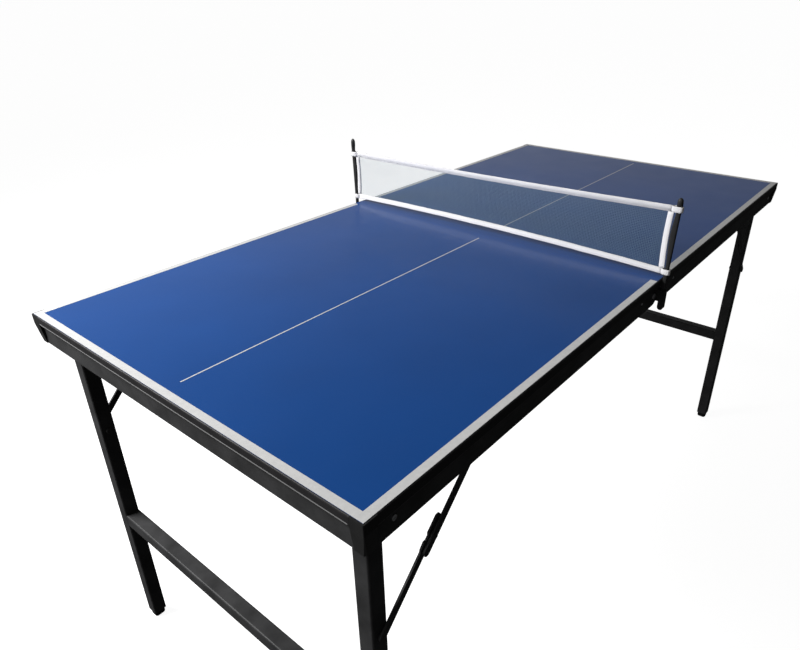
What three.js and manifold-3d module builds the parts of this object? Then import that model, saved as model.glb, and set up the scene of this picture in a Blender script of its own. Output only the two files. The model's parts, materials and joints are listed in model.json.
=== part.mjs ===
// Folding table-tennis table, millimetres, +Z up.
// X runs along the table, Y across it, and the floor is Z = 0.
// The table is two equal halves that meet at X = 0. Each half is drawn once, in the place of half A
// (negative X), and half B is the same half turned 180 degrees about Z.
import * as THREE from "three";
import { mergeVertices } from "three/addons/utils/BufferGeometryUtils.js";
import Module from "manifold-3d";

const wasm = await Module();
wasm.setup();

// ---- driving dimensions ----
const HALF_LENGTH = 762;
const WIDTH = 740;
const TOP_HEIGHT = 720;
const GAP = 0.3;
const FOLD_GAP = 0.15;

const PANEL_THICKNESS = 12;

// edge band: an L section that hangs on the panel's edge
const BAND_PROUD = 2.5;
const BAND_DEPTH = 16;
const BAND_WALL = 2.3;
const BAND_FOOT = 2.7;

// rail: an open-ended rectangular tube with a thin bead along its outer face
const RAIL_INSET = 3;
const RAIL_THICKNESS = 8;
const RAIL_WALL = 1.4;
const RAIL_TOP = -12.6;
const RAIL_BOTTOM = -49.6;
const BEAD_TOP = -16.4;
const BEAD_BOTTOM = -18.8;
const BEAD_PROUD = 1.4;

// corner caps
const CAP_ARM = 18;
const CAP_FOOT = 1.6;
const CAP_ROUND = 1.8;
const CAP_CUT_START = -31;
const CAP_CUT = 6;

// fold hinge: a link plate on each side with one pin in each half
const PIVOT_TO_FOLD = 19;
const HINGE_HEIGHT = PIVOT_TO_FOLD - FOLD_GAP;
const HINGE_Z = RAIL_BOTTOM + HINGE_HEIGHT;
const LINK_RADIUS = 9.5;
const LINK_THICKNESS = 3;
const PIN_RADIUS = 3;
const PIN_HEAD_RADIUS = 5.5;
const LEG_BOLT_HEAD_RADIUS = 3.8;
const HOLE_CLEARANCE = 0.3;
const FOLD_RAIL_DEPTH = 17;
const FOLD_RAIL_END = 16;

// legs
const TUBE = 26;
const TUBE_WALL = 1.5;
const TUBE_ROUND = 3;
const LEG_END_INSET = 29;
const LEG_SIDE_INSET = 28;
const LEG_PIVOT_U = 47.5;
const LEG_PIVOT_Z = -29.5;
const LEG_ABOVE_PIVOT = 10;
const CROSSBAR_TOP = -429.5;
const FOOT_HEIGHT = 14;
const FOOT_SIDE = 22;
const FOOT_SPIGOT = 12;

// leg braces: upper pivot on the rail, lower pivot on the leg, elbow between them
const BRACE_U = 240;
const BRACE_Z = -33;
const BRACE_LEG_U = 42;
const BRACE_LEG_Z = -234;
const BRACE_UPPER_LENGTH = 147.06;
const LINK_WIDTH = 12;
const BRACE_THICKNESS = 3;
const UPPER_PLANE = 18.2;
const LOWER_PLANE = 23.1;
const TONGUE = 22;
const ELBOW_TAB = 9;

// closing stud and its hole
const STUD_U = 263;
const STUD_RADIUS = 6.5;
const STUD_NARROWING = 0.35;
const STUD_HEIGHT = 4.5;
const STUD_HOLE_RADIUS = 8;

// net
const NET_X = -5.2;
const POST_THICKNESS = 6;
const POST_OUT = 3;
const POST_WIDTH = 8;
const NET_HALF_SPAN = 365.5;
const TAPE_HEIGHT = 11;
const TAPE_THICKNESS = 2;
const MESH_THICKNESS = 0.8;
const SIDE_TAPE_WIDTH = 10;
const NET_BOTTOM_END = 9;
const NET_BOTTOM_BOW = 6;
const NET_TOP_NEAR = 133;
const NET_TOP_FAR = 119;
const NET_TOP_SAG = 3;
const STRAP_WALL = 1.2;

// carry handle and latch, on the far rail of half B
const HANDLE_X = 418;
const HANDLE_HALF = 97;
const HANDLE_PIVOT_Z = -27;
const HANDLE_PIVOT_OUT = 6;
const LATCH_X = 674;
const LATCH_PIVOT_Z = -44;
const LATCH_PIVOT_OUT = 3.2;

// ---- materials ----
const finish = (color, roughness, metalness) =>
  new THREE.MeshStandardMaterial({ color, roughness, metalness });
const BLUE_BOARD = () => finish(0x1f4f9c, 0.4, 0);
const BLACK_BAND = () => finish(0x161616, 0.45, 0);
const BLACK_PAINT = () => finish(0x151516, 0.5, 0.3);
const BLACK_PLASTIC = () => finish(0x101010, 0.55, 0);
const RUBBER = () => finish(0x0c0c0c, 0.85, 0);
const ZINC = () => finish(0xb9bbbe, 0.35, 0.9);
const CHROME = () => finish(0xd0d2d5, 0.15, 1);
const WHITE_TAPE = () => finish(0xeeeef0, 0.8, 0);
const NET_CORD = () => finish(0xc9d3e2, 0.85, 0);

// ---- geometry helpers ----
const X_AXIS = new THREE.Vector3(1, 0, 0);
const Y_AXIS = new THREE.Vector3(0, 1, 0);
const Z_AXIS = new THREE.Vector3(0, 0, 1);
const CURVE_STEPS = 8;
const ROUND_STEPS = 20;

const height = (depth) => TOP_HEIGHT + depth;
const along = (u) => u - HALF_LENGTH;
const across = (side, s) => side * (WIDTH / 2 - s);

function box(x0, x1, y0, y1, z0, z1) {
  const geometry = new THREE.BoxGeometry(Math.abs(x1 - x0), Math.abs(y1 - y0), Math.abs(z1 - z0));
  return geometry.translate((x0 + x1) / 2, (y0 + y1) / 2, (z0 + z1) / 2);
}

function wound(points, clockwise) {
  const path = points.map(([a, b]) => new THREE.Vector2(a, b));
  return THREE.ShapeUtils.isClockWise(path) === clockwise ? path : path.reverse();
}

const outline = (points) => new THREE.Shape(wound(points, false));

function hole(shape, points) {
  shape.holes.push(new THREE.Path(wound(points, true)));
  return shape;
}

function rectangle(a0, a1, b0, b1) {
  return [[a0, b0], [a1, b0], [a1, b1], [a0, b1]];
}

function extrude(shape, depth) {
  return new THREE.ExtrudeGeometry(shape, { depth, bevelEnabled: false, curveSegments: CURVE_STEPS });
}

// a section in (Y, Z) carried along X from x0 to x1
function prismX(shape, x0, x1) {
  const turn = new THREE.Matrix4().makeBasis(Y_AXIS, Z_AXIS, X_AXIS);
  return extrude(shape, x1 - x0).applyMatrix4(turn).translate(x0, 0, 0);
}

// a section in (X, Z) carried along Y between y0 and y1
function prismY(shape, y0, y1) {
  const turn = new THREE.Matrix4().makeBasis(X_AXIS, Z_AXIS, Y_AXIS.clone().negate());
  return extrude(shape, Math.abs(y1 - y0)).applyMatrix4(turn).translate(0, Math.max(y0, y1), 0);
}

// a section in (X, Y) carried along Z from z0 to z1
function prismZ(shape, z0, z1) {
  return extrude(shape, z1 - z0).translate(0, 0, z0);
}

// a turned piece about an axis along Y through (x, z); steps are [radius, y] pairs
function turnedY(x, z, steps, side) {
  const closed = [[0, steps[0][1]], ...steps, [0, steps[steps.length - 1][1]]];
  const ordered = closed[0][1] < closed[closed.length - 1][1] ? closed : closed.reverse();
  const points = ordered.map(([r, y]) => new THREE.Vector2(r, y));
  const geometry = new THREE.LatheGeometry(points, ROUND_STEPS);
  return geometry.translate(x, 0, z);
}

function roundedSquare(side, radius) {
  const h = side / 2;
  const c = h - radius;
  const shape = new THREE.Shape();
  shape.moveTo(-c, -h);
  shape.lineTo(c, -h);
  shape.absarc(c, -c, radius, -Math.PI / 2, 0);
  shape.lineTo(h, c);
  shape.absarc(c, c, radius, 0, Math.PI / 2);
  shape.lineTo(-c, h);
  shape.absarc(-c, c, radius, Math.PI / 2, Math.PI);
  shape.lineTo(-h, -c);
  shape.absarc(-c, -c, radius, Math.PI, 1.5 * Math.PI);
  return shape;
}

function tubeSection() {
  const shape = roundedSquare(TUBE, TUBE_ROUND);
  const inner = roundedSquare(TUBE - 2 * TUBE_WALL, TUBE_ROUND - TUBE_WALL);
  shape.holes.push(new THREE.Path(inner.getPoints(3)));
  return shape;
}

function extrudeTube(length) {
  return new THREE.ExtrudeGeometry(tubeSection(), { depth: length, bevelEnabled: false, curveSegments: 3 });
}

// a bar with round ends in the (X, Z) plane between two points
function linkShape(from, to, radius, overrun = 0) {
  const angle = Math.atan2(to.y - from.y, to.x - from.x);
  const end = to.clone().add(new THREE.Vector2(Math.cos(angle), Math.sin(angle)).multiplyScalar(overrun));
  const shape = new THREE.Shape();
  shape.absarc(from.x, from.y, radius, angle + Math.PI / 2, angle + 1.5 * Math.PI, false);
  shape.absarc(end.x, end.y, radius, angle - Math.PI / 2, angle + Math.PI / 2, false);
  return shape;
}

function roundHole(shape, at, radius) {
  const path = new THREE.Path();
  path.absarc(at.x, at.y, radius, 0, 2 * Math.PI, true);
  shape.holes.push(path);
  return shape;
}

// ---- joins and cuts ----
function solid(geometry) {
  const plain = geometry.index ? geometry.toNonIndexed() : geometry.clone();
  plain.deleteAttribute("normal");
  plain.deleteAttribute("uv");
  const merged = mergeVertices(plain, 1e-4);
  const index = merged.index.array;
  const faces = [];
  for (let i = 0; i < index.length; i += 3) {
    const [a, b, c] = [index[i], index[i + 1], index[i + 2]];
    if (a !== b && b !== c && c !== a) faces.push(a, b, c);
  }
  return new wasm.Manifold(new wasm.Mesh({
    numProp: 3,
    vertProperties: new Float32Array(merged.attributes.position.array),
    triVerts: new Uint32Array(faces),
  }));
}

function surface(manifold) {
  const mesh = manifold.getMesh();
  const geometry = new THREE.BufferGeometry();
  geometry.setAttribute("position", new THREE.BufferAttribute(new Float32Array(mesh.vertProperties), 3));
  geometry.setIndex(new THREE.BufferAttribute(new Uint32Array(mesh.triVerts), 1));
  geometry.computeVertexNormals();
  return geometry;
}

const cut = (base, ...tools) => surface(tools.reduce((whole, tool) => whole.subtract(solid(tool)), solid(base)));
const join = (base, ...more) => surface(more.reduce((whole, part) => whole.add(solid(part)), solid(base)));

function cylinderY(x, z, radius, y0, y1) {
  return turnedY(x, z, [[radius, Math.min(y0, y1)], [radius, Math.max(y0, y1)]]);
}

function named(name, geometry, material) {
  const mesh = new THREE.Mesh(geometry, material);
  mesh.name = name;
  return mesh;
}

function group(...children) {
  const made = new THREE.Group();
  made.add(...children);
  return made;
}

// ---- sections ----
function railSection(side) {
  const outer = RAIL_INSET;
  const inner = RAIL_INSET + RAIL_THICKNESS;
  const bead = RAIL_INSET - BEAD_PROUD;
  const points = [
    [outer, RAIL_TOP], [outer, BEAD_TOP], [bead, BEAD_TOP - 0.5], [bead, BEAD_BOTTOM + 0.5],
    [outer, BEAD_BOTTOM], [outer, RAIL_BOTTOM], [inner, RAIL_BOTTOM], [inner, RAIL_TOP],
  ];
  const space = rectangle(outer + RAIL_WALL, inner - RAIL_WALL, RAIL_BOTTOM + RAIL_WALL, RAIL_TOP - RAIL_WALL);
  const place = ([s, z]) => [across(side, s), height(z)];
  return hole(outline(points.map(place)), space.map(place));
}

function bandPoints() {
  const out = -BAND_PROUD;
  const wall = out + BAND_WALL;
  const foot = -PANEL_THICKNESS - GAP;
  return [
    [out + 1.6, -GAP], [out + 0.5, -0.8], [out, -2], [out, -BAND_DEPTH + 2], [out + 0.6, -BAND_DEPTH + 0.6],
    [out + 2, -BAND_DEPTH], [BAND_FOOT, -BAND_DEPTH], [BAND_FOOT, foot], [wall, foot], [wall, -GAP],
  ];
}

// ---- one half of the table top ----
function sideBand(side) {
  const place = ([s, z]) => [across(side, s), height(z)];
  const start = along(CAP_ARM + GAP);
  return prismX(outline(bandPoints().map(place)), start, -FOLD_GAP);
}

function endBand() {
  const place = ([s, z]) => [along(s), height(z)];
  const reach = WIDTH / 2 - CAP_ARM - GAP;
  return prismY(outline(bandPoints().map(place)), -reach, reach);
}

// corner outline between two distances from the table's edges, carried from z0 to z1
function capRing(side, outer, inner, z0, z1) {
  const y = (s) => across(side, s);
  const x = along;
  const shape = new THREE.Shape();
  shape.moveTo(x(outer + CAP_ROUND), y(outer));
  shape.quadraticCurveTo(x(outer), y(outer), x(outer), y(outer + CAP_ROUND));
  shape.lineTo(x(outer), y(CAP_ARM));
  shape.lineTo(x(inner), y(CAP_ARM));
  shape.lineTo(x(inner), y(inner));
  shape.lineTo(x(CAP_ARM), y(inner));
  shape.lineTo(x(CAP_ARM), y(outer));
  return prismZ(shape, height(z0), height(z1));
}

// the skirt below the band narrows towards its foot
function capSkirt(side) {
  const slice = (outer, z) => solid(capRing(side, outer, CAP_ARM - 1, z, z + 0.2));
  const top = slice(-BAND_PROUD, -BAND_DEPTH);
  const foot = slice(CAP_FOOT, RAIL_BOTTOM);
  const space = box(
    along(BAND_FOOT), along(CAP_ARM + 1), across(side, BAND_FOOT), across(side, CAP_ARM + 1),
    height(RAIL_BOTTOM) - 1, height(-BAND_DEPTH) + 1,
  );
  return surface(wasm.Manifold.hull([top, foot]).subtract(solid(space)));
}

function cornerCap(side) {
  const wall = -BAND_PROUD + BAND_WALL;
  const whole = join(
    capRing(side, -BAND_PROUD, wall, -BAND_DEPTH, -GAP),
    capRing(side, -BAND_PROUD, BAND_FOOT, -BAND_DEPTH, -PANEL_THICKNESS - GAP),
    capSkirt(side),
  );
  // the lower corner is cut away on a slant
  const slant = new THREE.Vector3(1 / CAP_CUT, -side / CAP_CUT, 1 / (CAP_CUT_START - RAIL_BOTTOM));
  const start = new THREE.Vector3(along(0), across(side, 0), height(CAP_CUT_START));
  return surface(solid(whole).trimByPlane(slant.toArray(), slant.dot(start) / slant.length()));
}

function braceStud(side) {
  const y = (s) => across(side, s);
  const hub = UPPER_PLANE - GAP;
  const outer = UPPER_PLANE + BRACE_THICKNESS + GAP;
  const steps = [
    [8, y(RAIL_INSET + RAIL_THICKNESS - 1)], [8, y(13)], [5, y(13)], [5, y(hub)], [PIN_RADIUS, y(hub)],
    [PIN_RADIUS, y(outer)], [5, y(outer)], [5, y(outer + 1.2)],
  ];
  return turnedY(along(BRACE_U), height(BRACE_Z), steps);
}

function sideRail(side, hasStudHole) {
  const start = along(RAIL_INSET);
  const outerFace = across(side, RAIL_INSET);
  const beyond = across(side, -5);
  const pivotX = along(HALF_LENGTH - PIVOT_TO_FOLD);
  const low = height(RAIL_BOTTOM) - 1;
  const quarter = box(pivotX, 1, across(side, 0), across(side, 20), low, height(HINGE_Z));
  const keep = cylinderY(pivotX, height(HINGE_Z), HINGE_HEIGHT, across(side, -1), across(side, 21));
  const corner = surface(solid(quarter).subtract(solid(keep)));
  const tools = [
    box(start - 1, along(CAP_ARM + GAP), outerFace, beyond, height(BEAD_BOTTOM) - 0.5, height(BEAD_TOP) + 0.5),
    corner,
    cylinderY(along(LEG_PIVOT_U), height(LEG_PIVOT_Z), PIN_RADIUS + HOLE_CLEARANCE, beyond, across(side, 20)),
    cylinderY(pivotX, height(HINGE_Z), PIN_RADIUS + HOLE_CLEARANCE, beyond, across(side, 20)),
  ];
  if (hasStudHole) {
    const mouth = new THREE.CylinderGeometry(STUD_HOLE_RADIUS, STUD_HOLE_RADIUS, 5, ROUND_STEPS);
    mouth.rotateX(Math.PI / 2).scale(1, STUD_NARROWING, 1);
    mouth.translate(along(STUD_U), across(side, RAIL_INSET + RAIL_THICKNESS / 2), low);
    tools.push(mouth);
  }
  return join(cut(prismX(railSection(side), start, -FOLD_GAP), ...tools), braceStud(side));
}

function endRail() {
  const reach = WIDTH / 2 - RAIL_INSET - RAIL_THICKNESS - GAP;
  const outer = RAIL_INSET;
  const inner = RAIL_INSET + RAIL_THICKNESS;
  const bead = RAIL_INSET - BEAD_PROUD;
  const points = [
    [outer, RAIL_TOP], [outer, BEAD_TOP], [bead, BEAD_TOP - 0.5], [bead, BEAD_BOTTOM + 0.5],
    [outer, BEAD_BOTTOM], [outer, RAIL_BOTTOM], [inner, RAIL_BOTTOM], [inner, RAIL_TOP],
  ];
  const space = rectangle(outer + RAIL_WALL, inner - RAIL_WALL, RAIL_BOTTOM + RAIL_WALL, RAIL_TOP - RAIL_WALL);
  const place = ([s, z]) => [along(s), height(z)];
  const body = prismY(hole(outline(points.map(place)), space.map(place)), -reach, reach);
  const capZone = WIDTH / 2 - CAP_ARM - GAP;
  const ends = [-1, 1].map((side) => box(
    along(-5), along(RAIL_INSET), side * capZone, side * (WIDTH / 2),
    height(BEAD_BOTTOM) - 0.5, height(BEAD_TOP) + 0.5,
  ));
  return cut(body, ...ends);
}

function foldRail() {
  const reach = WIDTH / 2 - FOLD_RAIL_END;
  const x0 = -FOLD_GAP - RAIL_THICKNESS;
  const x1 = -FOLD_GAP;
  const z1 = height(RAIL_TOP);
  const z0 = z1 - FOLD_RAIL_DEPTH;
  const shape = hole(outline(rectangle(x0, x1, z0, z1)), rectangle(x0 + RAIL_WALL, x1 - RAIL_WALL, z0 + RAIL_WALL, z1 - RAIL_WALL));
  return prismY(shape, -reach, reach);
}

function legPivotBolt(side) {
  const y = (s) => across(side, s);
  const steps = [
    [LEG_BOLT_HEAD_RADIUS - 1, y(1.2)], [LEG_BOLT_HEAD_RADIUS, y(1.8)], [LEG_BOLT_HEAD_RADIUS, y(2.7)],
    [PIN_RADIUS, y(2.7)], [PIN_RADIUS, y(11.3)], [6, y(11.3)], [6, y(LEG_SIDE_INSET - GAP)], [PIN_RADIUS, y(LEG_SIDE_INSET - GAP)],
    [PIN_RADIUS, y(LEG_SIDE_INSET + TUBE + GAP)], [PIN_HEAD_RADIUS, y(LEG_SIDE_INSET + TUBE + GAP)],
    [PIN_HEAD_RADIUS, y(LEG_SIDE_INSET + TUBE + 4)],
  ];
  return turnedY(along(LEG_PIVOT_U), height(LEG_PIVOT_Z), steps);
}

function closingStud(side) {
  const profile = [new THREE.Vector2(0, 0)];
  for (let i = 0; i <= CURVE_STEPS; i += 1) {
    const angle = -Math.PI / 2 + (i / CURVE_STEPS) * (Math.PI / 2);
    profile.push(new THREE.Vector2(STUD_RADIUS * Math.cos(angle), STUD_HEIGHT * (1 + Math.sin(angle))));
  }
  profile.push(new THREE.Vector2(0, STUD_HEIGHT));
  const geometry = new THREE.LatheGeometry(profile.slice(1), ROUND_STEPS).rotateX(Math.PI / 2);
  geometry.scale(1, STUD_NARROWING, 1);
  const middle = RAIL_INSET + RAIL_THICKNESS / 2;
  return geometry.translate(along(STUD_U), across(side, middle), height(RAIL_BOTTOM) - GAP - STUD_HEIGHT);
}

// ---- leg frame ----
function leg(side) {
  const x = along(LEG_END_INSET + TUBE / 2);
  const y = across(side, LEG_SIDE_INSET + TUBE / 2);
  const top = height(LEG_PIVOT_Z + LEG_ABOVE_PIVOT);
  const tube = extrudeTube(top - FOOT_HEIGHT).translate(x, y, FOOT_HEIGHT);
  const radius = PIN_RADIUS + HOLE_CLEARANCE;
  const near = across(side, LEG_SIDE_INSET - 2);
  const far = across(side, LEG_SIDE_INSET + TUBE + 2);
  return cut(tube, cylinderY(along(LEG_PIVOT_U), height(LEG_PIVOT_Z), radius, near, far));
}

function braceBolt(side) {
  const y = (s) => across(side, s);
  const face = LEG_SIDE_INSET + TUBE;
  const steps = [
    [PIN_RADIUS, y(LEG_SIDE_INSET + 0.5)], [PIN_RADIUS, y(face - 1)], [PIN_HEAD_RADIUS, y(face - 1)],
    [PIN_HEAD_RADIUS, y(face + 1)], [PIN_HEAD_RADIUS - 1.5, y(face + 2.6)],
  ];
  return turnedY(along(BRACE_LEG_U), height(BRACE_LEG_Z), steps);
}

function crossbar() {
  const reach = WIDTH / 2 - LEG_SIDE_INSET - TUBE + TUBE_WALL / 2;
  const x = along(LEG_END_INSET + TUBE / 2);
  const z = height(CROSSBAR_TOP) - TUBE / 2;
  const tube = extrudeTube(2 * reach).rotateX(-Math.PI / 2).translate(x, -reach, z);
  const weepHole = new THREE.CylinderGeometry(2.5, 2.5, TUBE / 2, 10).rotateX(Math.PI / 2);
  return cut(tube, weepHole.translate(x, 60 - reach, z - TUBE / 2));
}

const legFrame = () => join(leg(-1), leg(1), crossbar(), braceBolt(-1), braceBolt(1));

function foot(side) {
  const x = along(LEG_END_INSET + TUBE / 2);
  const y = across(side, LEG_SIDE_INSET + TUBE / 2);
  const pad = new THREE.ExtrudeGeometry(roundedSquare(FOOT_SIDE - 6, 3), {
    depth: FOOT_HEIGHT - GAP - 6, bevelEnabled: true, bevelThickness: 3, bevelSize: 3, bevelSegments: 3, curveSegments: 3,
  }).translate(x, y, 3);
  const spigot = prismZ(roundedSquare(TUBE - 2 * TUBE_WALL - 1, 1), FOOT_HEIGHT - 2, FOOT_HEIGHT + FOOT_SPIGOT);
  return join(pad, spigot.translate(x, y, 0));
}

// ---- braces ----
const UPPER_PIVOT = new THREE.Vector2(along(BRACE_U), height(BRACE_Z));
const LEG_PIVOT = new THREE.Vector2(along(BRACE_LEG_U), height(BRACE_LEG_Z));
const BRACE_LINE = LEG_PIVOT.clone().sub(UPPER_PIVOT).normalize();
const ELBOW = UPPER_PIVOT.clone().add(BRACE_LINE.clone().multiplyScalar(BRACE_UPPER_LENGTH));

function upperBrace(side) {
  const shape = linkShape(UPPER_PIVOT, ELBOW, LINK_WIDTH / 2, TONGUE);
  roundHole(shape, UPPER_PIVOT, PIN_RADIUS + HOLE_CLEARANCE);
  const plate = prismY(shape, across(side, UPPER_PLANE), across(side, UPPER_PLANE + BRACE_THICKNESS));
  const y = (s) => across(side, s);
  const lowerFace = LOWER_PLANE + BRACE_THICKNESS + GAP;
  const rivet = turnedY(ELBOW.x, ELBOW.y, [
    [3.6, y(UPPER_PLANE - 1.6)], [5, y(UPPER_PLANE - 0.6)], [5, y(UPPER_PLANE + 1)], [5, y(LOWER_PLANE - GAP)],
    [PIN_RADIUS, y(LOWER_PLANE - GAP)], [PIN_RADIUS, y(lowerFace)], [4.6, y(lowerFace)], [4.6, y(lowerFace + 1)],
  ]);
  return join(plate, rivet);
}

function lowerBrace(side) {
  const half = LINK_WIDTH / 2;
  const shape = linkShape(ELBOW, LEG_PIVOT, half);
  roundHole(shape, ELBOW, PIN_RADIUS + HOLE_CLEARANCE);
  const y0 = across(side, LOWER_PLANE);
  const y1 = across(side, LOWER_PLANE + BRACE_THICKNESS);
  const plate = prismY(shape, y0, y1);
  // stop plate beside the elbow, on the side that the elbow never folds to
  const left = new THREE.Vector2(BRACE_LINE.y, -BRACE_LINE.x);
  const at = (t, n) => ELBOW.clone().addScaledVector(BRACE_LINE, t).addScaledVector(left, n);
  const tab = outline([
    at(-8, -half), at(-22, -half + 1), at(-27, -2), at(-28, ELBOW_TAB - 4), at(-24, ELBOW_TAB), at(0, ELBOW_TAB),
    at(3, ELBOW_TAB - 3), at(9, ELBOW_TAB - 3), at(12, ELBOW_TAB), at(22, ELBOW_TAB - 1), at(28, half - 1), at(24, 2),
  ].map((p) => [p.x, p.y]));
  const boss = cylinderY(LEG_PIVOT.x, LEG_PIVOT.y, half - 0.5, y1, across(side, LEG_SIDE_INSET - GAP));
  const blank = join(plate, boss, prismY(tab, y0, y1));
  const clear = cylinderY(ELBOW.x, ELBOW.y, PIN_RADIUS + HOLE_CLEARANCE, across(side, 10), across(side, 28.9));
  return cut(blank, clear);
}

// ---- a whole half ----
// left is the side of half A that faces -Y; turning the half swaps the two sides
function tableHalf(tag, left, right) {
  const half = WIDTH / 2;
  const panel = box(along(0), -FOLD_GAP, -half, half, height(-PANEL_THICKNESS), height(0));
  const made = group(
    named(`top_panel_${tag}`, panel, BLUE_BOARD()),
    named(`edge_band_end_${tag}`, endBand(), BLACK_BAND()),
    named(`end_rail_${tag}`, endRail(), BLACK_PAINT()),
    named(`fold_rail_${tag}`, foldRail(), BLACK_PAINT()),
    named(`closing_stud_${tag}`, closingStud(-1), RUBBER()),
    named(`leg_frame_${tag}`, legFrame(), BLACK_PAINT()),
  );
  for (const [side, where] of [[-1, left], [1, right]]) {
    made.add(
      named(`edge_band_${where}_${tag}`, sideBand(side), BLACK_BAND()),
      named(`corner_cap_${where}_${tag}`, cornerCap(side), BLACK_PLASTIC()),
      named(`side_rail_${where}_${tag}`, sideRail(side, side > 0), BLACK_PAINT()),
      named(`leg_bolt_${where}_${tag}`, legPivotBolt(side), ZINC()),
      named(`foot_${where}_${tag}`, foot(side), RUBBER()),
      named(`brace_upper_${where}_${tag}`, upperBrace(side), BLACK_PAINT()),
      named(`brace_lower_${where}_${tag}`, lowerBrace(side), BLACK_PAINT()),
    );
  }
  return made;
}

// ---- fold hinge ----
function hingePin(side, x) {
  const y = (s) => across(side, s);
  const inside = RAIL_INSET + RAIL_THICKNESS + GAP + LINK_THICKNESS;
  return turnedY(x, height(HINGE_Z), [
    [PIN_HEAD_RADIUS - 1.2, y(0.8)], [PIN_HEAD_RADIUS, y(1.6)], [PIN_HEAD_RADIUS, y(2.7)], [PIN_RADIUS, y(2.7)],
    [PIN_RADIUS, y(inside - 0.5)], [PIN_HEAD_RADIUS - 0.5, y(inside - 0.5)], [PIN_HEAD_RADIUS - 0.5, y(inside + 1.5)],
  ]);
}

function hingeLink(side) {
  const a = new THREE.Vector2(-PIVOT_TO_FOLD, height(HINGE_Z));
  const b = new THREE.Vector2(PIVOT_TO_FOLD, height(HINGE_Z));
  const inner = RAIL_INSET + RAIL_THICKNESS + GAP;
  const plate = prismY(linkShape(a, b, LINK_RADIUS), across(side, inner), across(side, inner + LINK_THICKNESS));
  return join(plate, hingePin(side, -PIVOT_TO_FOLD), hingePin(side, PIVOT_TO_FOLD));
}

const hinge = () => group(
  named("hinge_link_near", hingeLink(-1), ZINC()),
  named("hinge_link_far", hingeLink(1), ZINC()),
);

// ---- net set ----
const POST_X0 = NET_X - POST_THICKNESS / 2;
const POST_X1 = NET_X + POST_THICKNESS / 2;

// distances are outward from the table's edge, heights above the playing surface
function postOutline(side) {
  const at = (out, z) => [across(side, -out), height(z)];
  return outline([
    at(POST_OUT, -42), at(POST_OUT, 2), at(4.6, 10), at(4.2, 34), at(2.4, 62), at(2, 80), at(3.6, 100), at(6.2, 120),
    at(6.4, 128), at(5.2, 132), at(5.2, 142), at(7, 146), at(10, 147.5), at(13.6, 146), at(15.4, 141), at(15.2, 130),
    at(14.4, 120), at(POST_OUT + POST_WIDTH, 10), at(POST_OUT + POST_WIDTH, -42),
  ]);
}

const post = (side) => prismX(postOutline(side), POST_X0, POST_X1);

function netSocket(side) {
  const x0 = POST_X0 - GAP - 1.9;
  const x1 = POST_X1 + GAP + 1.5;
  const at = ([out, z]) => [across(side, -out), height(z)];
  const far = POST_OUT + POST_WIDTH + GAP + 2;
  const toe = [];
  for (let i = 0; i <= CURVE_STEPS; i += 1) {
    const angle = Math.PI + (i / CURVE_STEPS) * Math.PI;
    const middle = (POST_OUT + far) / 2;
    const radius = (far - POST_OUT) / 2;
    toe.push([middle + radius * Math.cos(angle), -53 + radius * Math.sin(angle)]);
  }
  const shape = outline([[-RAIL_INSET + GAP, -20], [-RAIL_INSET + GAP, -42], [POST_OUT, -42], ...toe, [far, -20]].map(at));
  const bore = box(
    POST_X0 - GAP, POST_X1 + GAP, across(side, -POST_OUT + GAP), across(side, -POST_OUT - POST_WIDTH - GAP),
    height(-42 - GAP), height(0),
  );
  return cut(prismX(shape, x0, x1), bore);
}

const netTop = (y) => {
  const share = (y + NET_HALF_SPAN) / (2 * NET_HALF_SPAN);
  const chord = NET_TOP_NEAR + (NET_TOP_FAR - NET_TOP_NEAR) * share;
  return chord - NET_TOP_SAG * 4 * share * (1 - share);
};
const netBottom = (y) => {
  const share = (y + NET_HALF_SPAN) / (2 * NET_HALF_SPAN);
  return NET_BOTTOM_END + NET_BOTTOM_BOW * 4 * share * (1 - share);
};

function ribbon(low, high, y0, y1, steps = 16) {
  const ys = Array.from({ length: steps + 1 }, (_, i) => y0 + ((y1 - y0) * i) / steps);
  const under = ys.map((y) => [y, height(low(y))]);
  const over = ys.map((y) => [y, height(high(y))]).reverse();
  return outline([...under, ...over]);
}

function netPanel() {
  const reach = NET_HALF_SPAN - SIDE_TAPE_WIDTH / 2 - GAP;
  const low = (y) => netBottom(y) + TAPE_HEIGHT + GAP;
  const high = (y) => netTop(y) - TAPE_HEIGHT - GAP;
  return prismX(ribbon(low, high, -reach, reach), NET_X - MESH_THICKNESS / 2, NET_X + MESH_THICKNESS / 2);
}

// a loop of tape round the post, starting inside the end of a long tape
function strap(side, low, inner, outer) {
  const start = NET_HALF_SPAN + SIDE_TAPE_WIDTH / 2 - 2;
  const end = WIDTH / 2 + outer + GAP + STRAP_WALL;
  const wall = POST_THICKNESS / 2 + GAP + STRAP_WALL;
  const shape = hole(
    outline(rectangle(NET_X - wall, NET_X + wall, side * start, side * end)),
    rectangle(POST_X0 - GAP, POST_X1 + GAP, side * (WIDTH / 2 + inner - GAP), side * (end - STRAP_WALL)),
  );
  return prismZ(shape, height(low), height(low + TAPE_HEIGHT - 1));
}

// a long tape with a loop at each end; the loops clear the post between inner and outer
function longTape(low, high, inner, outer) {
  const reach = NET_HALF_SPAN + SIDE_TAPE_WIDTH / 2;
  const tape = prismX(ribbon(low, high, -reach, reach), NET_X - TAPE_THICKNESS / 2, NET_X + TAPE_THICKNESS / 2);
  const loops = [-1, 1].map((side) => strap(side, low(side * reach) + 0.4, inner, outer));
  return join(tape, ...loops);
}

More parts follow.
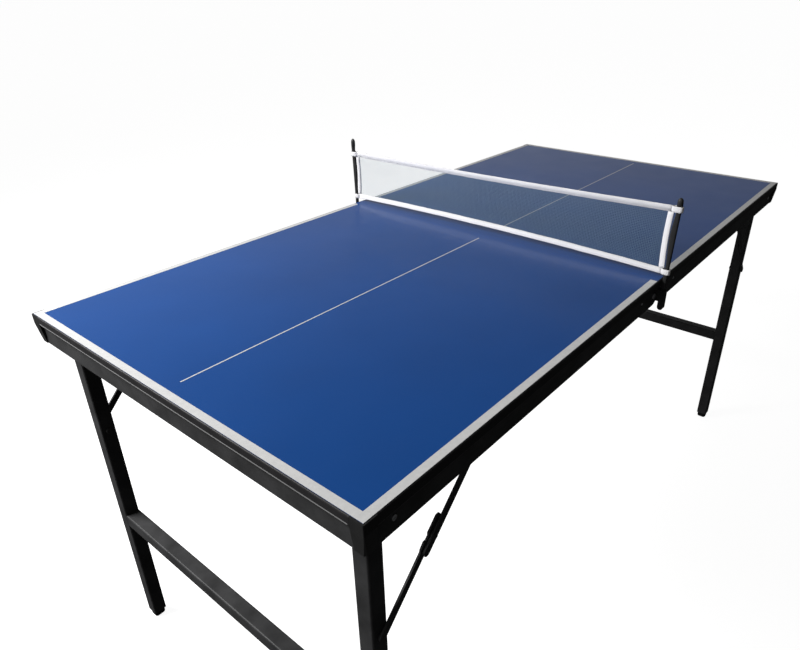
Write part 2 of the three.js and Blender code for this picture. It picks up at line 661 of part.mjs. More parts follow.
function sideTape(side) {
  const inner = side * (NET_HALF_SPAN - SIDE_TAPE_WIDTH / 2);
  const outer = side * (NET_HALF_SPAN + SIDE_TAPE_WIDTH / 2);
  const low = (y) => netBottom(y) + TAPE_HEIGHT + GAP;
  const high = (y) => netTop(y) - TAPE_HEIGHT - GAP;
  const shape = ribbon(low, high, Math.min(inner, outer), Math.max(inner, outer), 2);
  return prismX(shape, NET_X - TAPE_THICKNESS / 2, NET_X + TAPE_THICKNESS / 2);
}

const netSet = () => group(
  named("net_post_near", post(-1), BLACK_PLASTIC()),
  named("net_post_far", post(1), BLACK_PLASTIC()),
  named("net_mesh", netPanel(), NET_CORD()),
  named("net_top_tape", longTape((y) => netTop(y) - TAPE_HEIGHT, netTop, 2.2, 15), WHITE_TAPE()),
  named("net_bottom_tape", longTape(netBottom, (y) => netBottom(y) + TAPE_HEIGHT, 2.8, 11.6), WHITE_TAPE()),
  named("net_side_tape_near", sideTape(-1), WHITE_TAPE()),
  named("net_side_tape_far", sideTape(1), WHITE_TAPE()),
  named("net_socket_near", netSocket(-1), BLACK_PLASTIC()),
  named("net_socket_far", netSocket(1), BLACK_PLASTIC()),
);

// ---- carry handle ----
function handleBow() {
  const z = height(HANDLE_PIVOT_Z);
  const y = across(1, -HANDLE_PIVOT_OUT);
  const path = new THREE.CatmullRomCurve3([
    new THREE.Vector3(-HANDLE_HALF + 6, 0, 0), new THREE.Vector3(-HANDLE_HALF + 14, 0.3, -4),
    new THREE.Vector3(-66, 1, -14), new THREE.Vector3(-40, 1.6, -19), new THREE.Vector3(0, 1.9, -20.5),
    new THREE.Vector3(40, 1.6, -19), new THREE.Vector3(66, 1, -14),
    new THREE.Vector3(HANDLE_HALF - 14, 0.3, -4), new THREE.Vector3(HANDLE_HALF - 6, 0, 0),
  ].map((p) => p.add(new THREE.Vector3(HANDLE_X, y, z))));
  const section = new THREE.Shape();
  section.absellipse(0, 0, 5, 5, 0, 2 * Math.PI);
  const bow = new THREE.ExtrudeGeometry(section, { steps: 36, extrudePath: path, curveSegments: 5 });
  const pins = [-1, 1].map((end) => {
    const pin = new THREE.CylinderGeometry(2.2, 2.2, 16, 12).rotateZ(Math.PI / 2);
    return pin.translate(HANDLE_X + end * (HANDLE_HALF - 2), y, z);
  });
  return join(bow, ...pins);
}

function handleBracket(end) {
  const x = HANDLE_X + end * HANDLE_HALF;
  const z = height(HANDLE_PIVOT_Z);
  const plate = box(x - 17, x + 17, across(1, 0.7), across(1, 2.7), height(-45), height(-17.5 - BEAD_PROUD));
  const cheek = (dx) => {
    const ear = box(x + dx - 1.1, x + dx + 1.1, across(1, -HANDLE_PIVOT_OUT - 4.5), across(1, 1), z - 5, z + 5);
    const bore = new THREE.CylinderGeometry(2.6, 2.6, 8, 16).rotateZ(Math.PI / 2);
    bore.translate(x + dx, across(1, -HANDLE_PIVOT_OUT), z);
    return cut(ear, bore);
  };
  const outerEar = cheek(end * 5);
  const innerEar = cheek(-end * 1.5);
  return join(plate, outerEar, innerEar);
}

// ---- latch ----
function latchBase() {
  const y = (out) => across(1, -out);
  const z = height(LATCH_PIVOT_Z);
  const plate = box(LATCH_X - 22, LATCH_X + 22, y(-2.7), y(-0.9), height(-48.5), height(-20));
  const lugs = [-1, 1].map((end) => {
    const x = LATCH_X + end * 17;
    const lug = box(x - 1.5, x + 1.5, y(-1.5), y(LATCH_PIVOT_OUT + 3), z - 3, z + 3);
    const bore = new THREE.CylinderGeometry(1.8, 1.8, 8, 14).rotateZ(Math.PI / 2);
    return cut(lug, bore.translate(x, y(LATCH_PIVOT_OUT), z));
  });
  return join(plate, ...lugs);
}

function latchLoop() {
  const y = (out) => across(1, -out);
  const z = height(LATCH_PIVOT_Z);
  const width = 14.6;
  const frame = hole(
    outline(rectangle(LATCH_X - width, LATCH_X + width, z - 2.2, z + 25.5)),
    rectangle(LATCH_X - width + 4, LATCH_X + width - 4, z + 6, z + 21.5),
  );
  const plate = prismY(frame, y(LATCH_PIVOT_OUT - 1.2), y(LATCH_PIVOT_OUT + 1.2));
  const pin = new THREE.CylinderGeometry(1.5, 1.5, 39, 14).rotateZ(Math.PI / 2).translate(LATCH_X, y(LATCH_PIVOT_OUT), z);
  return join(plate, pin);
}

function latchKeeper() {
  const y = (out) => across(1, -out);
  const plate = box(-LATCH_X - 14, -LATCH_X + 14, y(-2.7), y(-1.2), height(-46), height(-20));
  const lug = box(-LATCH_X - 8, -LATCH_X + 8, y(-1.5), y(6.4), height(-37.5), height(-34.8));
  const lip = box(-LATCH_X - 8, -LATCH_X + 8, y(4.8), y(6.4), height(-37.5), height(-32.2));
  return join(plate, lug, lip);
}

// ---- the table ----
const halfA = tableHalf("a", "near", "far");
const halfB = tableHalf("b", "far", "near");
halfB.rotation.z = Math.PI;

const fittings = group(
  named("carry_handle", handleBow(), BLACK_PLASTIC()),
  named("handle_bracket_left", handleBracket(-1), CHROME()),
  named("handle_bracket_right", handleBracket(1), CHROME()),
  named("latch_base", latchBase(), BLACK_PAINT()),
  named("latch_loop", latchLoop(), CHROME()),
  named("latch_keeper", latchKeeper(), CHROME()),
);

export default group(halfA, halfB, hinge(), netSet(), fittings);
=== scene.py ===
import json
import math

import bmesh
import bpy
from mathutils import Matrix, Vector

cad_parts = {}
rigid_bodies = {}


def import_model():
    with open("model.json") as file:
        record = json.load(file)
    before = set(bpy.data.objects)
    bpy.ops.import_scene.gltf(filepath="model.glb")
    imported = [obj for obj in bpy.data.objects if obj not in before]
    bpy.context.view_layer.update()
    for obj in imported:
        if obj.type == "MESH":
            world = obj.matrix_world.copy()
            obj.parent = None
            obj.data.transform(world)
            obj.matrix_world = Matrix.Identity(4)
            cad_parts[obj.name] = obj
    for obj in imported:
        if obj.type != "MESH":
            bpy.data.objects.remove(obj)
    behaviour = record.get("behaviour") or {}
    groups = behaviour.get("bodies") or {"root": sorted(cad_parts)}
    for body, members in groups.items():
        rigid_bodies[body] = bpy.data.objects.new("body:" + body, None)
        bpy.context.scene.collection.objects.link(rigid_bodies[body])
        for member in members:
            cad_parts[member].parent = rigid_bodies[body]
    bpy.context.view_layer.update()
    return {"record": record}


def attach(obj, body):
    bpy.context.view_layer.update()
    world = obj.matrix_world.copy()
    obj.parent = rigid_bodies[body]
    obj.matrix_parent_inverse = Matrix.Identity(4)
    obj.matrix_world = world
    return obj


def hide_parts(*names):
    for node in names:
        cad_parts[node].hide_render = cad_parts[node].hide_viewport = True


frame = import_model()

# ---------------------------------------------------------------- facts of the table, in metres
TOP = 0.72
HALF_LENGTH = 0.762
HALF_WIDTH = 0.370
NEAR, FAR = -1, 1
NET_X = -0.0052
NET_SPAN = 0.3655
NET_REACH = 0.3705
MM = 0.001


# ---------------------------------------------------------------- camera and light
ROOM_LEVEL = 0.85
WINDOW_WATTS = 60


def add_camera():
    data = bpy.data.cameras.new("camera")
    data.sensor_width = 36
    data.lens = 29.5
    data.shift_x = -0.0261
    data.shift_y = 0.0024
    data.clip_end = 300
    camera = bpy.data.objects.new("camera", data)
    right = Vector((0.63528, -0.77220, -0.01116))
    down = Vector((-0.36923, -0.29101, -0.88260))
    ahead = Vector((0.67830, 0.56482, -0.47000))
    place = Vector((-1.0918, -0.7216, 1.1931))
    turn = Matrix((right, -down, -ahead)).transposed().to_4x4()
    camera.matrix_world = Matrix.Translation(place) @ turn
    bpy.context.collection.objects.link(camera)
    bpy.context.scene.camera = camera


def add_area_light(name, place, target, size, watts):
    data = bpy.data.lights.new(name, "AREA")
    data.shape = "RECTANGLE"
    data.size, data.size_y = size
    data.energy = watts
    lamp = bpy.data.objects.new(name, data)
    lamp.location = place
    aim = Vector(target) - Vector(place)
    lamp.rotation_euler = aim.to_track_quat("-Z", "Y").to_euler()
    bpy.context.collection.objects.link(lamp)


def add_room():
    """A dim room, lighter low down on the far side, with a large soft window at the far left."""
    world = bpy.data.worlds.new("studio")
    bpy.context.scene.world = world
    world.use_nodes = True
    tree = world.node_tree
    way = tree.nodes.new("ShaderNodeTexCoord").outputs["Generated"]

    def spread(axis, start, stop, low, high):
        dot = tree.nodes.new("ShaderNodeVectorMath")
        dot.operation = "DOT_PRODUCT"
        dot.inputs[1].default_value = axis
        tree.links.new(way, dot.inputs[0])
        band = tree.nodes.new("ShaderNodeMapRange")
        band.interpolation_type = "SMOOTHSTEP"
        for socket, value in zip(band.inputs[1:5], (start, stop, low, high)):
            socket.default_value = value
        tree.links.new(dot.outputs["Value"], band.inputs["Value"])
        return band.outputs["Result"]

    def times(a, b):
        made = tree.nodes.new("ShaderNodeMath")
        made.operation = "MULTIPLY"
        tree.links.new(a, made.inputs[0])
        tree.links.new(b, made.inputs[1])
        return made.outputs["Value"]

    above = spread((0, 0, 1), -0.05, 0.05, 0.10, 1.0)
    fading = spread((0, 0, 1), 0.12, 0.5, 1.0, 0.10)
    sideways = spread((-0.35, 0.94, 0), -0.9, 0.5, 0.10, 1.0)
    background = tree.nodes["Background"]
    background.inputs["Color"].default_value = (1, 1, 1, 1)
    level = tree.nodes.new("ShaderNodeMath")
    level.operation = "MULTIPLY"
    level.inputs[1].default_value = ROOM_LEVEL
    tree.links.new(times(times(above, fading), sideways), level.inputs[0])
    tree.links.new(level.outputs["Value"], background.inputs["Strength"])
    bpy.context.scene.view_settings.view_transform = "Standard"
    add_area_light("window", (-1.5, 1.15, 1.75), (-0.35, 0.05, 0.70), (1.0, 0.8), WINDOW_WATTS)


# ---------------------------------------------------------------- materials
GROOVE_DROP = 12 * MM


class Shader:
    """A Principled material with object-space textures."""

    def __init__(self, name, **sockets):
        self.material = bpy.data.materials.new(name)
        self.material.use_nodes = True
        self.tree = self.material.node_tree
        self.surface = self.tree.nodes["Principled BSDF"]
        for socket, value in sockets.items():
            self.surface.inputs[socket.replace("_", " ")].default_value = value
        self.place = self.node("ShaderNodeTexCoord").outputs["Object"]

    def node(self, kind, **settings):
        made = self.tree.nodes.new(kind)
        for key, value in settings.items():
            setattr(made, key, value)
        return made

    def link(self, output, socket):
        self.tree.links.new(output, socket)

    def noise(self, scale, detail=3.0, roughness=0.55, stretch=(1, 1, 1)):
        mapping = self.node("ShaderNodeMapping")
        mapping.inputs["Scale"].default_value = stretch
        self.link(self.place, mapping.inputs["Vector"])
        made = self.node("ShaderNodeTexNoise")
        made.inputs["Scale"].default_value = scale
        made.inputs["Detail"].default_value = detail
        made.inputs["Roughness"].default_value = roughness
        self.link(mapping.outputs["Vector"], made.inputs["Vector"])
        return made.outputs["Fac"]

    def ramp(self, value, stops):
        made = self.node("ShaderNodeValToRGB")
        band = made.color_ramp
        while len(band.elements) < len(stops):
            band.elements.new(0.5)
        for element, (at, colour) in zip(band.elements, stops):
            element.position = at
            element.color = (*colour, 1)
        self.link(value, made.inputs["Fac"])
        return made.outputs["Color"]

    def spread(self, value, low, high, start=0.0, stop=1.0):
        made = self.node("ShaderNodeMapRange")
        for name, number in (("From Min", start), ("From Max", stop), ("To Min", low), ("To Max", high)):
            made.inputs[name].default_value = number
        self.link(value, made.inputs["Value"])
        return made.outputs["Result"]

    def maths(self, kind, a, b):
        made = self.node("ShaderNodeMath", operation=kind)
        for socket, value in zip(made.inputs, (a, b)):
            if isinstance(value, (int, float)):
                socket.default_value = value
            else:
                self.link(value, socket)
        return made.outputs["Value"]

    def mix(self, factor, a, b):
        made = self.node("ShaderNodeMix", data_type="RGBA")
        self.link(factor, made.inputs["Factor"])
        for socket, value in ((made.inputs[6], a), (made.inputs[7], b)):
            if isinstance(value, tuple):
                socket.default_value = (*value, 1)
            else:
                self.link(value, socket)
        return made.outputs[2]

    def bump(self, value, distance, strength=1.0, under=None):
        made = self.node("ShaderNodeBump")
        made.inputs["Distance"].default_value = distance
        made.inputs["Strength"].default_value = strength
        self.link(value, made.inputs["Height"])
        if under is not None:
            self.link(under, made.inputs["Normal"])
        return made.outputs["Normal"]

    def colour(self, output):
        self.link(output, self.surface.inputs["Base Color"])

    def rough(self, output):
        self.link(output, self.surface.inputs["Roughness"])

    def normal(self, output):
        self.link(output, self.surface.inputs["Normal"])


def dark(colour, share):
    return tuple(c * share for c in colour)


def painted_board():
    blue = (0.0045, 0.062, 0.262)
    s = Shader("painted_board", Specular_IOR_Level=0.4)
    cloud = s.ramp(s.noise(5, 2), [(0.3, dark(blue, 0.94)), (0.7, dark(blue, 1.06))])
    fleck = s.spread(s.noise(2600, 1), 0, 1, 0.66, 0.72)
    paint = s.mix(fleck, cloud, dark(blue, 1.35))
    # underside and cut edges are bare fibreboard
    split = s.node("ShaderNodeSeparateXYZ")
    s.link(s.place, split.inputs["Vector"])
    above = s.spread(split.outputs["Z"], 0, 1, TOP - 1.2 * MM, TOP - 0.9 * MM)
    fibre = s.ramp(s.noise(420, 4, 0.7), [(0.35, (0.085, 0.055, 0.034)), (0.68, (0.17, 0.118, 0.076))])
    s.colour(s.mix(above, fibre, paint))
    s.rough(s.spread(s.noise(14, 3), 0.30, 0.38))
    s.normal(s.bump(s.noise(1500, 2), 0.00006, 0.35))
    return s.material


def white_paint():
    s = Shader("white_line_paint")
    s.colour(s.ramp(s.noise(160, 3), [(0.3, (0.62, 0.62, 0.615)), (0.7, (0.69, 0.688, 0.68))]))
    s.rough(s.spread(s.noise(60, 3), 0.42, 0.55))
    s.normal(s.bump(s.noise(1800, 2), 0.00005, 0.4))
    return s.material


def powder_coat():
    base = (0.036, 0.036, 0.037)
    s = Shader("powder_coat", Specular_IOR_Level=0.22)
    speck = s.spread(s.noise(340, 4, 0.75), 0, 1, 0.735, 0.77)
    coat = s.ramp(s.noise(24, 3), [(0.3, dark(base, 0.75)), (0.75, dark(base, 1.5))])
    speckled = s.mix(speck, coat, dark(base, 2.2))
    s.colour(speckled)
    s.rough(s.spread(s.noise(30, 4), 0.36, 0.54))
    fine = s.bump(s.noise(1300, 3, 0.6), 0.00016, 0.5)
    s.normal(s.bump(s.noise(110, 2), 0.0002, 0.25, fine))
    return s.material


def moulded_plastic(name, base, low=0.38, high=0.5, painted_groove_highlight=False):
    s = Shader(name, Specular_IOR_Level=0.2)
    mottle = s.ramp(s.noise(40, 3), [(0.3, dark(base, 0.8)), (0.72, dark(base, 1.25))])
    if painted_groove_highlight:
        # the groove along each end of the table gets a painted highlight: a light grey line painted where
        # the groove would catch the light
        split = s.node("ShaderNodeSeparateXYZ")
        s.link(s.place, split.inputs["Vector"])
        away = s.maths("ABSOLUTE", split.outputs["X"], 0)
        end_face = s.spread(away, 0, 1, HALF_LENGTH + 1.3 * MM, HALF_LENGTH + 1.5 * MM)
        inward = s.maths("ABSOLUTE", split.outputs["Y"], 0)
        between_caps = s.spread(inward, 1, 0, HALF_WIDTH - 22 * MM, HALF_WIDTH - 20 * MM)
        end = s.maths("MULTIPLY", end_face, between_caps)
        middle = s.maths("ABSOLUTE", s.maths("SUBTRACT", split.outputs["Z"], TOP - GROOVE_DROP), 0)
        groove_highlight = s.maths("MULTIPLY", end, s.spread(middle, 1, 0, 0.7 * MM, 1.2 * MM))
        mottle = s.mix(groove_highlight, mottle, (0.26, 0.26, 0.26))
    s.colour(mottle)
    s.rough(s.spread(s.noise(80, 3), low, high))
    s.normal(s.bump(s.noise(2400, 2, 0.6), 0.00008, 0.5))
    return s.material


def rubber():
    s = Shader("foot_rubber", Specular_IOR_Level=0.15)
    s.colour(s.ramp(s.noise(70, 4), [(0.3, (0.006, 0.006, 0.006)), (0.75, (0.017, 0.017, 0.016))]))
    s.rough(s.spread(s.noise(50, 3), 0.68, 0.85))
    s.normal(s.bump(s.noise(900, 3), 0.0002, 0.5))
    return s.material


def plated(name, base, low, high, scratch):
    s = Shader(name, Metallic=1.0)
    s.colour(s.ramp(s.noise(90, 4, 0.65), [(0.3, dark(base, 0.82)), (0.7, base)]))
    s.rough(s.spread(s.noise(260, 4, 0.6, (1, 1, 12)), low, high))
    s.normal(s.bump(s.noise(500, 3, 0.6, (1, 1, 14)), 0.00008, scratch))
    return s.material


def woven_tape():
    s = Shader("woven_tape", Sheen_Weight=0.25, Sheen_Roughness=0.5)
    waves = []
    for axis in ("Y", "Z"):
        wave = s.node("ShaderNodeTexWave", wave_type="BANDS", bands_direction=axis)
        wave.inputs["Scale"].default_value = 360
        wave.inputs["Distortion"].default_value = 0.6
        s.link(s.place, wave.inputs["Vector"])
        waves.append(wave.outputs["Fac"])
    weave = s.maths("ADD", *waves)
    s.colour(s.ramp(s.spread(weave, 0.2, 0.8, 0, 2), [(0.2, (0.72, 0.71, 0.72)), (0.7, (0.88, 0.87, 0.88))]))
    s.rough(s.spread(s.noise(200, 2), 0.72, 0.86))
    fine = s.bump(weave, 0.00018, 0.6)
    s.normal(s.bump(s.noise(60, 2), 0.0005, 0.3, fine))
    return s.material


def net_cord():
    s = Shader("net_cord", Sheen_Weight=0.2)
    s.colour(s.ramp(s.noise(900, 2), [(0.3, (0.10, 0.20, 0.27)), (0.7, (0.16, 0.28, 0.36))]))
    s.rough(s.spread(s.noise(300, 2), 0.6, 0.8))
    s.normal(s.bump(s.noise(3000, 2), 0.0001, 0.5))
    return s.material


def pale_floor():
    s = Shader("floor", Roughness=0.9, Specular_IOR_Level=0.0, Emission_Strength=0.93)
    s.surface.inputs["Emission Color"].default_value = (1, 1, 1, 1)
    s.colour(s.ramp(s.noise(3, 2), [(0.2, (0.50, 0.50, 0.50)), (0.8, (0.53, 0.53, 0.53))]))
    return s.material


BOARD = painted_board()
LINE = white_paint()
COAT = powder_coat()
# the edge band carries the painted highlight line along its end groove
BAND = moulded_plastic("edge_band_plastic", (0.020, 0.019, 0.020), 0.36, 0.5, painted_groove_highlight=True)
PLASTIC = moulded_plastic("moulded_plastic", (0.020, 0.020, 0.020))
GRIP = moulded_plastic("handle_grip_plastic", (0.024, 0.024, 0.025), 0.46, 0.6)
RUBBER = rubber()
ZINC = plated("zinc_plate", (0.62, 0.63, 0.65), 0.45, 0.6, 0.4)
BRIGHT = plated("bright_plate", (0.66, 0.67, 0.70), 0.14, 0.26, 0.2)
TAPE = woven_tape()
CORD = net_cord()

BY_SLOT = {
    "blue_board": BOARD, "black_edge_band": BAND, "black_plastic": PLASTIC, "black_rubber": RUBBER,
    "black_painted_steel": COAT, "zinc_steel": ZINC, "bright_steel": BRIGHT, "white_tape": TAPE,
    "net_cord": CORD,
}


def dress_cad_nodes():
    for row in frame["record"]["subparts"]:
        node = bpy.data.objects[row["node"]]
        if not node.material_slots:
            node.data.materials.append(None)
        for place in node.material_slots:
            place.material = BY_SLOT[row["material_slot"]]


# ---------------------------------------------------------------- mesh helpers
def piece(name, verts, faces, material, body, slot, smooth=True):
    mesh = bpy.data.meshes.new(name)
    mesh.from_pydata([tuple(v) for v in verts], [], faces)
    tidy = bmesh.new()
    tidy.from_mesh(mesh)
    bmesh.ops.recalc_face_normals(tidy, faces=tidy.faces)
    tidy.to_mesh(mesh)
    tidy.free()
    mesh.materials.append(material)
    if smooth:
        mesh.shade_smooth()
    made = bpy.data.objects.new(name, mesh)
    bpy.context.collection.objects.link(made)
    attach(made, body)
    return made


def loft(rings, closed=False):
    """Joins rings of equal length; open lofts get end caps."""
    count = len(rings[0])
    verts = [v for ring in rings for v in ring]
    faces = []
    spans = len(rings) if closed else len(rings) - 1
    for i in range(spans):
        a, b = i * count, ((i + 1) % len(rings)) * count
        for j in range(count):
            k = (j + 1) % count
            faces.append((a + j, a + k, b + k, b + j))
    if not closed:
        faces.append(tuple(range(count))[::-1])
        faces.append(tuple((len(rings) - 1) * count + j for j in range(count)))
    return verts, faces


def merge(parts):
    verts, faces = [], []
    for v, f in parts:
        base = len(verts)
        verts += v
        faces += [tuple(i + base for i in face) for face in f]
    return verts, faces


def superellipse(a, b, power=2.6, count=20):
    ring = []
    for i in range(count):
        t = 2 * math.pi * i / count
        c, s = math.cos(t), math.sin(t)
        ring.append((
            a * math.copysign(abs(c) ** (2 / power), c),
            b * math.copysign(abs(s) ** (2 / power), s),
        ))
    return ring


def block(x0, x1, y0, y1, z0, z1):
    ring = lambda z: [(x0, y0, z), (x1, y0, z), (x1, y1, z), (x0, y1, z)]
    return loft([ring(z0), ring(z1)])


# ---------------------------------------------------------------- playing lines
BORDER = 11.9 * MM
LINE_LIFT = 0.02 * MM
LINE_TOP = 0.14 * MM
CENTRE_HALF = 1.1 * MM
CENTRE_END = HALF_LENGTH - 0.033


def slab(outline):
    low, high = TOP + LINE_LIFT, TOP + LINE_TOP
    return loft([[(x, y, low) for x, y in outline], [(x, y, high) for x, y in outline]])


def add_lines(tag, way, border_stop, centre_from):
    """way is -1 for half A and +1 for half B; distances are from the fold."""
    edge, inside = HALF_WIDTH, HALF_WIDTH - BORDER
    end, end_inside = way * HALF_LENGTH, way * (HALF_LENGTH - BORDER)
    parts = [slab([(end, -edge), (end_inside, -inside), (end_inside, inside), (end, edge)])]
    for side in (NEAR, FAR):
        parts.append(slab([
            (way * border_stop, side * edge), (end, side * edge),
            (end_inside, side * inside), (way * border_stop, side * inside),
        ]))
    centre = [(centre_from, -1), (CENTRE_END, -1), (CENTRE_END, 1), (centre_from, 1)]
    parts.append(slab([(way * x, side * CENTRE_HALF) for x, side in centre]))
    piece(f"painted_lines_{tag}", *merge(parts), LINE, f"half_{tag}", "white_tape", smooth=False)


# ---------------------------------------------------------------- net
TAPE_WIDTH = 11 * MM
TAPE_THICK = 1.9 * MM
TAPE_WALL = 0.45 * MM
SIDE_TAPE_WIDTH = 10 * MM
TAPE_GAP = 0.3 * MM
STITCH_REACH = 0.361
STITCH_ROWS = (1.6 * MM, 9.6 * MM)
CORD_PITCH = 3.1 * MM
CORD_THICK = 0.5 * MM
CORD_ROWS = 35
MESH_REACH = 0.3625
MESH_EDGE = 8 * MM


def net_share(y):
    return (y + NET_SPAN) / (2 * NET_SPAN)


def net_top(y):
    u = net_share(y)
    return TOP + (133 - 14 * u - 12 * u * (1 - u)) * MM


def net_bottom(y):
    u = net_share(y)
    return TOP + (9 + 24 * u * (1 - u)) * MM


def ripple(y, z):
    """Small unevenness of sewn cloth, the same on each run."""
    return 0.25 * MM * math.sin(47 * y + 3) + 0.16 * MM * math.sin(121 * y + 40 * z + 1)


def folded_section(width, thick, wall, sign):
    """Section of a tape folded over an edge: (across, thickness) pairs; the fold is at width."""
    h, r = thick / 2, thick / 2
    outer = [(0, -h), (width - r, -h)]
    for i in range(1, 6):
        t = -math.pi / 2 + math.pi * i / 6
        outer.append((width - r + r * math.cos(t), h * math.sin(t)))
    outer += [(width - r, h), (0, h)]
    inner = [(max(a - wall, 0), b - math.copysign(wall, b)) for a, b in outer]
    ring = outer + inner[::-1]
    return [(sign * a, b) for a, b in ring]


def long_tape(name, edge_of, sign, node):
    """The fold lies on edge_of(y); the tape reaches sign-wards from its open side to the fold."""
    section = folded_section(TAPE_WIDTH, TAPE_THICK, TAPE_WALL, sign)
    rings = []
    steps = 90
    for i in range(steps + 1):
        y = -NET_REACH + 2 * NET_REACH * i / steps
        base = edge_of(y) - sign * TAPE_WIDTH
        rings.append([(NET_X + b + ripple(y, base), y, base + a) for a, b in section])
    tape = piece(name, *loft(rings), TAPE, "net_set", "white_tape")
    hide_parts(node)
    return tape


def side_tape(side):
    name = "near" if side == NEAR else "far"
    section = folded_section(SIDE_TAPE_WIDTH, TAPE_THICK, TAPE_WALL, side)
    end = side * NET_SPAN
    low = net_bottom(end) + TAPE_WIDTH + TAPE_GAP
    high = net_top(end) - TAPE_WIDTH - TAPE_GAP
    rings = []
    steps = 24
    for i in range(steps + 1):
        u = i / steps
        z = low + (high - low) * u
        pull = (2.4 - 1.8 * math.sin(math.pi * u)) * MM * side
        middle = side * (NET_SPAN - SIDE_TAPE_WIDTH / 2) + pull
        rings.append([(NET_X + b + ripple(end, z), middle + a, z) for a, b in section])
    made = piece(f"net_side_tape_sewn_{name}", *loft(rings), TAPE, "net_set", "white_tape")
    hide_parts(f"net_side_tape_{name}")


def strap(name, side, low, reach, start):
    """A loop of tape round a post, between start and reach out from the table's middle."""
    inner_x, wall = 3.35 * MM, 0.9 * MM
    y0, y1 = start, HALF_WIDTH + reach
    middle = (y0 + y1) / 2
    half = (y1 - y0) / 2 - inner_x
    rings = []
    count = 30
    for level in range(5):
        z = low + (TAPE_WIDTH - 1.2 * MM) * level / 4
        bulge = 0.15 * MM * math.sin(math.pi * level / 4)
        outer, inner = [], []
        for i in range(count):
            t = 2 * math.pi * i / count
            for radius, ring in ((inner_x + wall + bulge, outer), (inner_x, inner)):
                c, s = math.cos(t), math.sin(t)
                centre = middle + (half if c >= 0 else -half)
                # the loop closes up where it joins the tape
                narrow = 1 if c >= 0 else 0.42 + 0.58 * (1 + c)
                x = NET_X + radius * s * narrow
                ring.append((x, side * (centre + radius * c), z))
        rings.append((outer, inner))
    walls = [r[0] for r in rings] + [r[1] for r in rings[::-1]]
    return piece(name, *loft(walls, closed=True), TAPE, "net_set", "white_tape")


def stitches(name, line, offsets):
    """Rows of small thread dashes standing on both faces of a tape, at these heights from line(y)."""
    parts = []
    pitch, length = 4.2 * MM, 2.6 * MM
    half_deep, half_tall = 0.12 * MM, 0.22 * MM
    for i in range(int(2 * STITCH_REACH / pitch)):
        a = -STITCH_REACH + i * pitch
        b = a + length
        for side in (-1, 1):
            for offset in offsets:
                z = line(a) + offset
                x = NET_X + side * TAPE_THICK / 2 + ripple(a, z)
                parts.append(block(x - half_deep, x + half_deep, a, b, z - half_tall, z + half_tall))
    return piece(name, *merge(parts), TAPE, "net_set", "white_tape", smooth=False)


def add_mesh():
    """Knotted cords in a fine grid, pulled between the two long tapes."""
    columns = round(2 * MESH_REACH / CORD_PITCH)
    verts, faces = [], []
    for i in range(columns + 1):
        y = -MESH_REACH + 2 * MESH_REACH * i / columns
        low, high = net_bottom(y) + MESH_EDGE, net_top(y) - MESH_EDGE
        for j in range(CORD_ROWS + 1):
            v = j / CORD_ROWS
            verts.append((NET_X + 0.25 * MM * math.sin(9 * y + 5 * v), y, low + (high - low) * v))
    for i in range(columns):
        for j in range(CORD_ROWS):
            a = i * (CORD_ROWS + 1) + j
            b = a + CORD_ROWS + 1
            faces.append((a, b, b + 1, a + 1))
    mesh = piece("net_mesh_knotted", verts, faces, CORD, "net_set", "net_cord")
    wire = mesh.modifiers.new("cords", "WIREFRAME")
    wire.thickness = CORD_THICK
    wire.use_even_offset = False
    wire.use_boundary = True
    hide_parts("net_mesh")


# height above the top, then inner and outer distance from the table's edge, in mm
POST_STATIONS = [
    (-42, 3.0, 11.0), (2, 3.2, 11.0), (10, 4.4, 11.1), (34, 4.2, 11.8), (50, 3.2, 12.3), (62, 2.4, 12.7),
    (80, 2.1, 13.2), (92, 2.8, 13.6), (104, 4.2, 13.9), (116, 5.8, 14.3), (122, 6.4, 14.6), (126, 6.3, 15.1),
    (131, 5.4, 15.3), (142, 5.2, 15.4), (145, 6.3, 14.5), (147, 8.3, 12.4), (147.5, 9.6, 11.0),
]


def add_post(side):
    name = "near" if side == NEAR else "far"
    rings = []
    for z, inner, outer in POST_STATIONS:
        middle, half = (inner + outer) / 2, (outer - inner) / 2
        if z > 142:
            thick = 3.0 * half / 5.1
        elif z > 126:
            thick = 3.9
        else:
            thick = 2.95
        power = 2.3 if z > 126 else 3.2
        rings.append([
            (NET_X + a * MM, side * (HALF_WIDTH + (middle + b) * MM), TOP + z * MM)
            for a, b in superellipse(thick, half, power)
        ])
    made = piece(f"net_post_moulded_{name}", *loft(rings), PLASTIC, "net_set", "black_plastic")
    smooth = made.modifiers.new("rounding", "SUBSURF")
    smooth.levels = smooth.render_levels = 2
    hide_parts(f"net_post_{name}")


def add_long_tape(place, edge_of, sign, strap_reach):
    """One long tape with its end loops."""
    tape = long_tape(f"net_{place}_tape_sewn", edge_of, sign, f"net_{place}_tape")
    straps = []
    for side, tag in ((NEAR, "near"), (FAR, "far")):
        fold = edge_of(side * NET_REACH)
        low = fold - 10.6 * MM if sign > 0 else fold + 0.4 * MM
        straps.append(strap(f"net_strap_{place}_{tag}", side, low, strap_reach, NET_REACH - 2 * MM))
    return tape, straps


def add_net():
    top, straps_top = add_long_tape("top", net_top, 1, 16.5 * MM)
    bottom, straps_bottom = add_long_tape("bottom", net_bottom, -1, 13.1 * MM)
    sewn_top = stitches("net_top_stitches", net_top, [-row for row in STITCH_ROWS[::-1]])
    sewn_bottom = stitches("net_bottom_stitches", net_bottom, STITCH_ROWS)
    for side in (NEAR, FAR):
        side_tape(side)
        add_post(side)


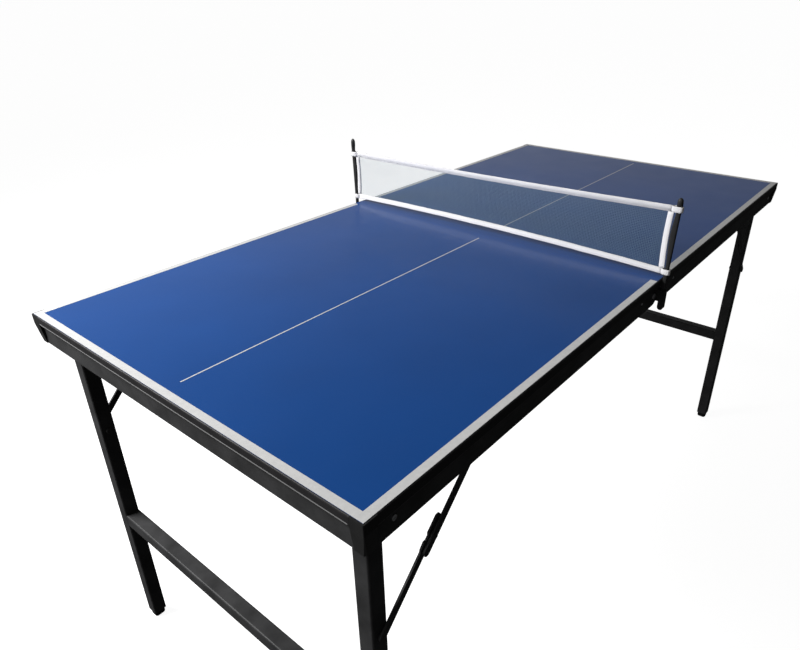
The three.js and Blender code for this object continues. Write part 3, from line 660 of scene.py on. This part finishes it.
# ---------------------------------------------------------------- carry handle
def add_handle():
    """A moulded grip, thicker at the middle, with finger ribs on its inner side."""
    x_mid, y0, z0 = 0.418, HALF_WIDTH + 6 * MM, TOP - 27 * MM
    # half of the grip's middle line in mm from the pins' middle: along, outwards, up
    path = [
        (-91, 0, 0), (-83, 0.3, -4), (-74, 0.6, -9), (-62, 1.1, -14.6), (-46, 1.5, -18.2), (-24, 1.8, -20.0),
        (0, 1.9, -20.5),
    ]
    path += [(-x, y, z) for x, y, z in path[-2::-1]]
    rings = []
    steps = 72
    for i in range(steps + 1):
        f = i / steps * (len(path) - 1)
        k = min(int(f), len(path) - 2)
        t = f - k
        at = [path[k][n] + (path[k + 1][n] - path[k][n]) * t for n in range(3)]
        ahead = [path[k + 1][n] - path[k][n] for n in range(3)]
        angle = math.atan2(ahead[2], ahead[0])
        grip = max(0.0, 1 - (abs(at[0]) / 64) ** 4)
        rib = 0.35 * math.sin(at[0] / 5.4) ** 2 * grip
        tall = 4.6 + 1.5 * grip - rib
        deep = 4.2 + 0.5 * grip
        ring = []
        for a, b in superellipse(deep, tall, 2.4, 20):
            ring.append((
                x_mid + (at[0] - b * math.sin(angle)) * MM,
                y0 + (at[1] + a) * MM,
                z0 + (at[2] + b * math.cos(angle)) * MM,
            ))
        rings.append(ring)
    parts = [loft(rings)]
    pin_radius = 2.2 * MM
    turns = [2 * math.pi * i / 16 for i in range(16)]
    for end in (-1, 1):
        x = x_mid + end * 95 * MM
        circle = [(pin_radius * math.cos(t), pin_radius * math.sin(t)) for t in turns]
        parts.append(loft([[(x + dx, y0 + y, z0 + z) for y, z in circle] for dx in (-8 * MM, 8 * MM)]))
    made = piece("carry_handle_grip", *merge(parts), GRIP, "carry_handle", "black_plastic")
    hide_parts("carry_handle")


# ---------------------------------------------------------------- small screws
def add_screw(name, x, z, side, radius, body):
    """A low round head with a hexagonal socket, standing on a side rail's outer face."""
    rise, surface = 1.3 * MM, HALF_WIDTH - 3 * MM
    rings = []
    profile = [(1.0, 0.0), (1.0, 0.45), (0.86, 0.8), (0.6, 1.0), (0.46, 1.0), (0.42, 0.35)]
    count = 24
    for share, lift in profile:
        ring = []
        for i in range(count):
            t = 2 * math.pi * i / count
            r = radius * share
            if share < 0.5:
                r *= math.cos(math.pi / 6) / math.cos((t % (math.pi / 3)) - math.pi / 6)
            ring.append((x + r * math.cos(t), side * (surface + lift * rise), z + r * math.sin(t)))
        rings.append(ring)
    piece(name, *loft(rings), ZINC, body, "zinc_steel", smooth=False)


def add_screws():
    for tag, way in (("a", -1), ("b", 1)):
        for side, word in ((NEAR, "near"), (FAR, "far")):
            name = f"rail_screw_{word}_{tag}"
            add_screw(name, way * 72 * MM, TOP - 26 * MM, side, 2.4 * MM, f"half_{tag}")


# ---------------------------------------------------------------- floor
def add_floor():
    mesh = bpy.data.meshes.new("floor")
    reach = 120
    corners = [(-reach, -reach, 0), (reach, -reach, 0), (reach, reach, 0), (-reach, reach, 0)]
    mesh.from_pydata(corners, [], [(0, 1, 2, 3)])
    mesh.materials.append(pale_floor())
    floor = bpy.data.objects.new("floor", mesh)
    floor.location.z = -0.0005
    floor.visible_diffuse = False
    floor.visible_glossy = False
    bpy.context.collection.objects.link(floor)


# ---------------------------------------------------------------- making
add_camera()
add_room()
add_floor()
dress_cad_nodes()
add_lines("a", -1, border_stop=0.022, centre_from=0.035)
add_lines("b", 1, border_stop=0.026, centre_from=0.060)
add_mesh()
add_net()
add_handle()
add_screws()
